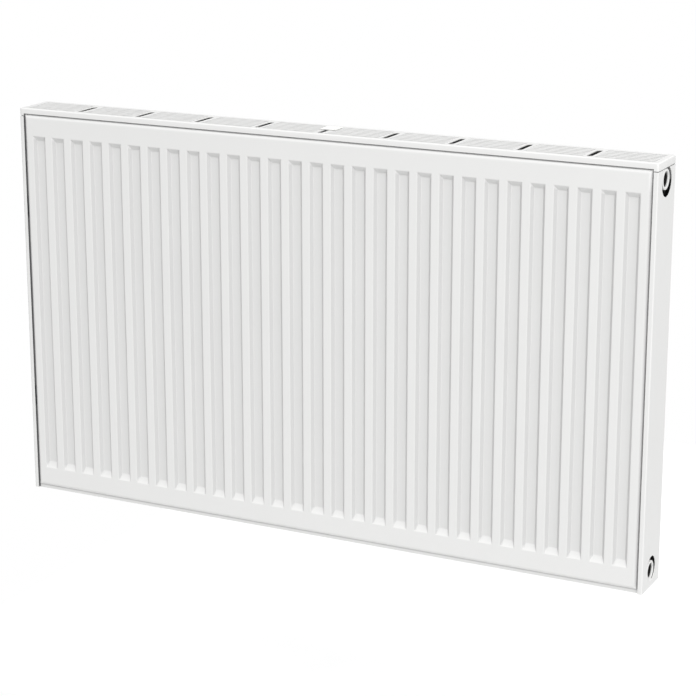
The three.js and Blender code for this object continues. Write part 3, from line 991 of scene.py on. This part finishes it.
def slot_cutter(name, length, width, along):
    """An obround prism about the origin, its long way along X or Y."""
    half = 3 * COVER_SHEET
    radius = width / 2
    outline = []
    for first, centre in ((-90, length / 2 - radius), (90, -length / 2 + radius)):
        for step in range(SLOT_END_STEPS + 1):
            angle = math.radians(first + 180 * step / SLOT_END_STEPS)
            outline.append((centre + radius * math.cos(angle), radius * math.sin(angle)))
    if along == "y":
        outline = [(-v, u) for u, v in outline]
    count = len(outline)
    points = [(x, y, -half) for x, y in outline] + [(x, y, half) for x, y in outline]
    faces = [list(reversed(range(count))), list(range(count, 2 * count))]
    faces += [[i, (i + 1) % count, (i + 1) % count + count, i + count] for i in range(count)]
    return new_object(name, mesh_from(name, points, faces))


def slotted_tree():
    """Cuts a row of cross slots and a field of long slots out of a plate."""
    tree = bpy.data.node_groups.new("slotted_plate", "GeometryNodeTree")
    face = tree.interface
    face.new_socket("Plate", in_out="INPUT", socket_type="NodeSocketGeometry")
    for name, kind in (("Cross slot", "Object"), ("Cross slots", "Int"), ("Cross pitch", "Float"),
                       ("Cross place", "Vector"), ("Long slot", "Object"), ("Segments", "Int"),
                       ("Rows", "Int"), ("Row pitch", "Float"), ("Row place", "Vector"),
                       ("Material", "Material")):
        face.new_socket(name, in_out="INPUT", socket_type=f"NodeSocket{kind}")
    face.new_socket("Geometry", in_out="OUTPUT", socket_type="NodeSocketGeometry")
    given = add(tree, "NodeGroupInput").outputs

    def span(count, pitch):
        gaps = add(tree, "ShaderNodeMath", {"operation": "SUBTRACT"}, {0: count, 1: 1})
        return add(tree, "ShaderNodeMath", {"operation": "MULTIPLY"}, {0: gaps.outputs[0], 1: pitch})

    def field(slot, columns, rows, column_pitch, row_pitch, place):
        width = span(columns, column_pitch)
        depth = span(rows, row_pitch)
        grid = add(tree, "GeometryNodeMeshGrid", None,
                   {"Size X": width.outputs[0], "Size Y": depth.outputs[0],
                    "Vertices X": columns, "Vertices Y": rows})
        moved = add(tree, "GeometryNodeTransform", None,
                    {"Geometry": grid.outputs["Mesh"], "Translation": place})
        shape = add(tree, "GeometryNodeObjectInfo", None, {"Object": slot})
        copies = add(tree, "GeometryNodeInstanceOnPoints", None,
                     {"Points": moved.outputs["Geometry"], "Instance": shape.outputs["Geometry"]})
        return copies.outputs["Instances"]

    cross_line = add(tree, "GeometryNodeMeshLine", {"mode": "END_POINTS"},
                     {"Count": given["Cross slots"]})
    cross_span = span(given["Cross slots"], given["Cross pitch"])
    left_half = add(tree, "ShaderNodeMath", {"operation": "MULTIPLY"},
                    {0: cross_span.outputs[0], 1: -0.5})
    right_half = add(tree, "ShaderNodeMath", {"operation": "MULTIPLY"},
                     {0: cross_span.outputs[0], 1: 0.5})
    left = add(tree, "ShaderNodeCombineXYZ", None, {"X": left_half.outputs[0]})
    right = add(tree, "ShaderNodeCombineXYZ", None, {"X": right_half.outputs[0]})
    tree.links.new(left.outputs[0], cross_line.inputs["Start Location"])
    tree.links.new(right.outputs[0], cross_line.inputs["Offset"])
    cross_moved = add(tree, "GeometryNodeTransform", None,
                      {"Geometry": cross_line.outputs["Mesh"], "Translation": given["Cross place"]})
    cross_shape = add(tree, "GeometryNodeObjectInfo", None, {"Object": given["Cross slot"]})
    cross = add(tree, "GeometryNodeInstanceOnPoints", None,
                {"Points": cross_moved.outputs["Geometry"], "Instance": cross_shape.outputs["Geometry"]})
    rows = field(given["Long slot"], given["Segments"], given["Rows"], given["Cross pitch"],
                 given["Row pitch"], given["Row place"])
    knives = add(tree, "GeometryNodeJoinGeometry")
    tree.links.new(cross.outputs["Instances"], knives.inputs["Geometry"])
    tree.links.new(rows, knives.inputs["Geometry"])
    real = add(tree, "GeometryNodeRealizeInstances", None, {"Geometry": knives.outputs["Geometry"]})
    cut_plate = add(tree, "GeometryNodeMeshBoolean", {"operation": "DIFFERENCE", "solver": "EXACT"})
    tree.links.new(given["Plate"], cut_plate.inputs["Mesh 1"])
    tree.links.new(real.outputs["Geometry"], cut_plate.inputs["Mesh 2"])
    coated = add(tree, "GeometryNodeSetMaterial", None,
                 {"Geometry": cut_plate.outputs["Mesh"], "Material": given["Material"]})
    add(tree, "NodeGroupOutput", None, {"Geometry": coated.outputs["Geometry"]})
    return tree


def top_grille():
    """The tray with its slots cut; its underside is coloured black as painted shade."""
    low, high = node_box("top_grille")
    tray = grille_tray()
    cross_length = CROSS_SLOTS["back"] - CROSS_SLOTS["front"]
    cross_y = low.y + (CROSS_SLOTS["back"] + CROSS_SLOTS["front"]) / 2
    row_y = low.y + ROW_SLOTS["front"] + (ROW_SLOTS["rows"] - 1) / 2 * ROW_SLOTS["row_pitch"]
    grille = run_rule("top_grille_plate", slotted_tree(), {
        "Cross slot": slot_cutter("cross_slot", cross_length, CROSS_SLOTS["width"], "y"),
        "Cross slots": CROSS_SLOTS["count"],
        "Cross pitch": CROSS_SLOTS["pitch"] * MM,
        "Cross place": (0, cross_y * MM, high.z * MM),
        "Long slot": slot_cutter("long_slot", ROW_SLOTS["length"], ROW_SLOTS["width"], "x"),
        "Segments": CROSS_SLOTS["count"] + 1,
        "Rows": ROW_SLOTS["rows"],
        "Row pitch": ROW_SLOTS["row_pitch"] * MM,
        "Row place": (0, row_y * MM, high.z * MM),
        "Material": ENAMEL,
    }, tray.data)
    bpy.data.objects.remove(tray)
    smooth(outward(recoat(grille, ENAMEL)))
    underside = high.z - 1.5 * COVER_SHEET
    # Painted shade: the plate's downward faces are coloured black
    paint_shade_inside(grille, lambda centre, normal: normal.z < -LOOKS_THAT_WAY
                 and centre.z / MM > underside)
    soften(grille, EDGE_ROUNDING["grille"])
    place_piece(grille, "top_grille", "white_enamel", "top_grille")


def grille_clip():
    """The clip's cap has a rounded rim and a release slit; its stem goes down through the plate."""
    low, high = node_box("grille_clip")
    grille_top = node_box("top_grille")[1].z
    cap = block("grille_clip_cap", (low.x, low.y, grille_top + CAP_CLEARANCE), high)
    cap.data.materials.append(NYLON)
    slit_right = high.x - SLIT["from_edge"]
    slit = block("slit", (slit_right - SLIT["width"], low.y + SLIT["end_margin"], high.z - SLIT["depth"]),
                 (slit_right, high.y - SLIT["end_margin"], high.z + SLIT["depth"]))
    cut(cap, slit)
    soften(smooth(outward(cap)), EDGE_ROUNDING["cap"], 3)
    place_piece(cap, "grille_clip", "white_plastic", "grille_clip")
    stem = block("grille_clip_stem", (-STEM_HALF_WIDTH, low.y + CLIP_OVERHANG, low.z),
                 (STEM_HALF_WIDTH, high.y - CLIP_OVERHANG, grille_top + STEM_LAP))
    stem.data.materials.append(NYLON)
    soften(smooth(outward(stem)), EDGE_ROUNDING["stem"])
    place_piece(stem, "grille_clip", "white_plastic", "grille_clip")


# ---------------------------------------------------------------- studio


def camera():
    """A long lens that looks down at the front and the right-hand end."""
    eye = bpy.data.cameras.new("camera")
    eye.lens = CAMERA_LENS
    eye.sensor_width = 36
    seen = bpy.data.objects.new("camera", eye)
    scene.collection.objects.link(seen)
    seen.location = Vector(CAMERA_PLACE) * MM
    seen.rotation_euler = (math.radians(90 - CAMERA_DIP), 0, math.radians(CAMERA_AZIMUTH))
    scene.camera = seen


def soft_lamp():
    """A large soft lamp at the right front, which makes the right-hand end a little brighter."""
    lamp = bpy.data.lights.new("soft_lamp", "AREA")
    lamp.shape = "RECTANGLE"
    lamp.size = LAMP_SIZE[0] * MM
    lamp.size_y = LAMP_SIZE[1] * MM
    lamp.energy = LAMP_POWER
    held = bpy.data.objects.new("soft_lamp", lamp)
    scene.collection.objects.link(held)
    held.location = Vector(LAMP_PLACE) * MM
    middle = (cad_low + cad_high) / 2
    held.rotation_euler = (middle - held.location).to_track_quat("-Z", "Y").to_euler()


def studio():
    """A pale floor sheet inside a light tent, which is brighter above and towards the right front."""
    floor_z = cad_low.z / MM - FLOOR_DROP
    sides = (FLOOR_SHEET["left"], FLOOR_SHEET["right"])
    front, back = FLOOR_SHEET["front"], FLOOR_SHEET["back"]
    corners = [(sides[0], front, floor_z), (sides[1], front, floor_z),
               (sides[1], back, floor_z), (sides[0], back, floor_z)]
    floor = new_object("floor", mesh_from("floor", corners, [(0, 1, 2, 3)]))
    floor.data.materials.append(FLOOR)
    world = bpy.data.worlds.new("light_tent")
    scene.world = world
    world.use_nodes = True
    tree = world.node_tree
    tree.nodes.clear()
    ray = add(tree, "ShaderNodeLightPath")
    towards = add(tree, "ShaderNodeTexCoord").outputs["Generated"]
    share = add(tree, "ShaderNodeVectorMath", {"operation": "DOT_PRODUCT"}, {0: towards, 1: TENT_AIM})
    glow = add(tree, "ShaderNodeMapRange", None,
               {"Value": share.outputs["Value"], "From Min": -1, "From Max": 1,
                "To Min": TENT_MEAN - TENT_SLOPE, "To Max": TENT_MEAN + TENT_SLOPE})
    axes = add(tree, "ShaderNodeSeparateXYZ", None, {0: towards})
    leftward = add(tree, "ShaderNodeMath", {"operation": "MULTIPLY", "use_clamp": True},
                   {0: axes.outputs["X"], 1: -1})
    flag = add(tree, "ShaderNodeMath", {"operation": "POWER"},
               {0: leftward.outputs[0], 1: FLAG_NARROWNESS})
    shade = add(tree, "ShaderNodeMath", {"operation": "MULTIPLY"}, {0: flag.outputs[0], 1: FLAG_DEPTH})
    flagged = add(tree, "ShaderNodeMath", {"operation": "SUBTRACT"},
                  {0: glow.outputs["Result"], 1: shade.outputs[0]})
    bright = add(tree, "ShaderNodeMath", {"operation": "MAXIMUM"}, {0: flagged.outputs[0], 1: 0})
    lighting = add(tree, "ShaderNodeBackground", None,
                   {"Color": linear("#FFFFFF"), "Strength": bright.outputs[0]})
    backdrop = add(tree, "ShaderNodeBackground", None, {"Color": linear("#FFFFFF"), "Strength": 1})
    shown = add(tree, "ShaderNodeMixShader", None,
                {0: ray.outputs["Is Camera Ray"], 1: lighting.outputs[0], 2: backdrop.outputs[0]})
    add(tree, "ShaderNodeOutputWorld", None, {"Surface": shown.outputs[0]})
    scene.view_settings.view_transform = "Standard"
    scene.view_settings.look = "None"


row_of_strips = strip_row_tree()
water_panels(row_of_strips)
connections()
convector(row_of_strips)
bridges()
hanging_lugs()
side_panels()
top_grille()
grille_clip()
camera()
soft_lamp()
studio()
